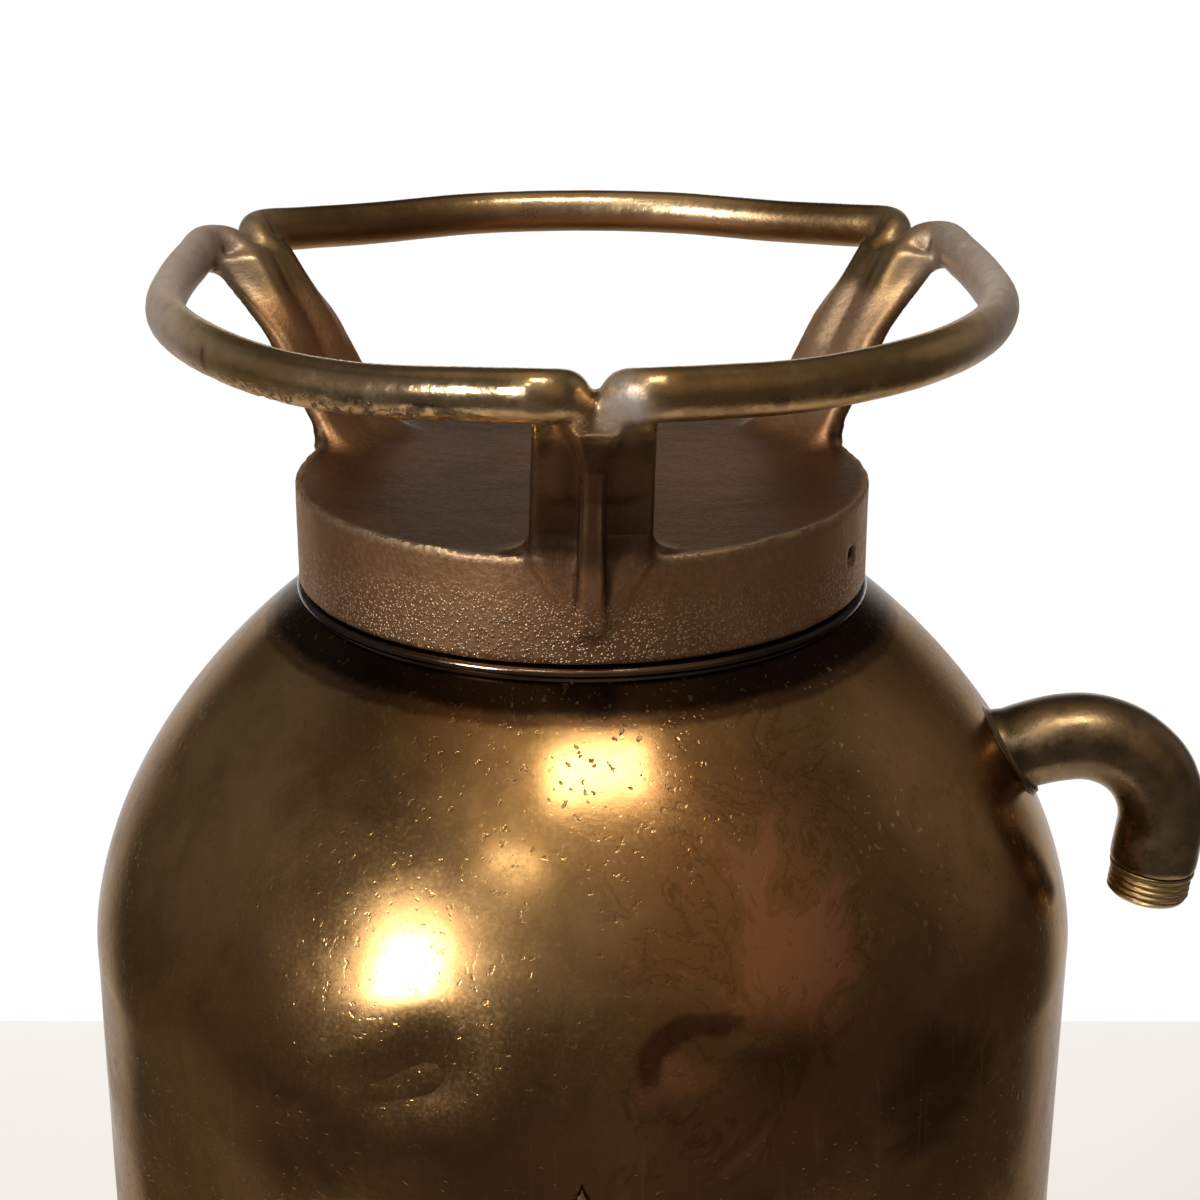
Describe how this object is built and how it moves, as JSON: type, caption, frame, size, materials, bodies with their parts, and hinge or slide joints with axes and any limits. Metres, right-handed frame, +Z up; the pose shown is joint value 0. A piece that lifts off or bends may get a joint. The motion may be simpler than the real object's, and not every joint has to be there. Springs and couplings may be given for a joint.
{
  "type": "soda-acid fire extinguisher",
  "caption": "Upright domed copper extinguisher with a screw cap, a lobed ring handle on legs, a bent hose outlet, and an acid bottle in a cage inside.",
  "frame": {"origin": "on the vessel's axis at the floor, under the middle of the foot", "axes": "+Z up along the vessel's axis, -Y towards the name plate, +X to the outlet's side"},
  "size_m": [0.2049, 0.1828, 0.6103],
  "materials": {
    "shell_copper": "drawn copper shell, brown-gold tarnish over a soft polish, copper-red patches",
    "bronze_casting": "sand-cast bronze, matt brown with bright worn edges",
    "brass_fitting": "turned brass tube, dark patina with gold highlights",
    "brass_trim": "sheet brass, satin, lightly tarnished",
    "acid_glass": "clear greenish blown glass",
    "gasket_rubber": "black rubber",
    "stopper_lead": "dull grey cast lead"
  },
  "bodies": {
    "vessel": {"body_shell": "shell_copper", "bottom_head": "shell_copper", "foot_band": "brass_trim", "base_grip": "brass_trim", "grip_rivet_1": "brass_trim", "grip_rivet_2": "brass_trim", "grip_rivet_3": "brass_trim", "grip_rivet_4": "brass_trim", "neck_collar": "bronze_casting", "outlet_flange": "brass_fitting", "outlet_elbow": "brass_fitting", "outlet_spigot": "brass_fitting", "outlet_strainer": "brass_fitting", "name_plate": "brass_trim", "cage_ring": "brass_trim", "cage_cup": "brass_trim", "cage_strap_1": "brass_trim", "ring_rivet_1": "brass_trim", "cup_rivet_1": "brass_trim", "cage_strap_2": "brass_trim", "ring_rivet_2": "brass_trim", "cup_rivet_2": "brass_trim", "cage_strap_3": "brass_trim", "ring_rivet_3": "brass_trim", "cup_rivet_3": "brass_trim", "cage_strap_4": "brass_trim", "ring_rivet_4": "brass_trim", "cup_rivet_4": "brass_trim", "acid_bottle": "acid_glass"},
    "cap_seal": {"cap_gasket": "gasket_rubber"},
    "cap": {"cap_casting": "bronze_casting"},
    "stopper": {"acid_stopper": "stopper_lead"}
  },
  "joints": [
    {"name": "cap_rise", "type": "slide", "parent": "vessel", "child": "cap_seal", "axis": [0, 0, 1], "range_m": [0, 0.008]},
    {"name": "cap_turn", "type": "hinge", "parent": "cap_seal", "child": "cap", "pos_m": [0, 0, 0.567], "axis": [0, 0, 1], "range_deg": [0, 900]},
    {"name": "stopper_lift", "type": "slide", "parent": "vessel", "child": "stopper", "axis": [0, 0, 1], "range_m": [0, 0.009]}
  ],
  "couplings": [
    {"joint": "cap_rise", "follows": "cap_turn", "m_per_rad": 0.00050532}
  ]
}
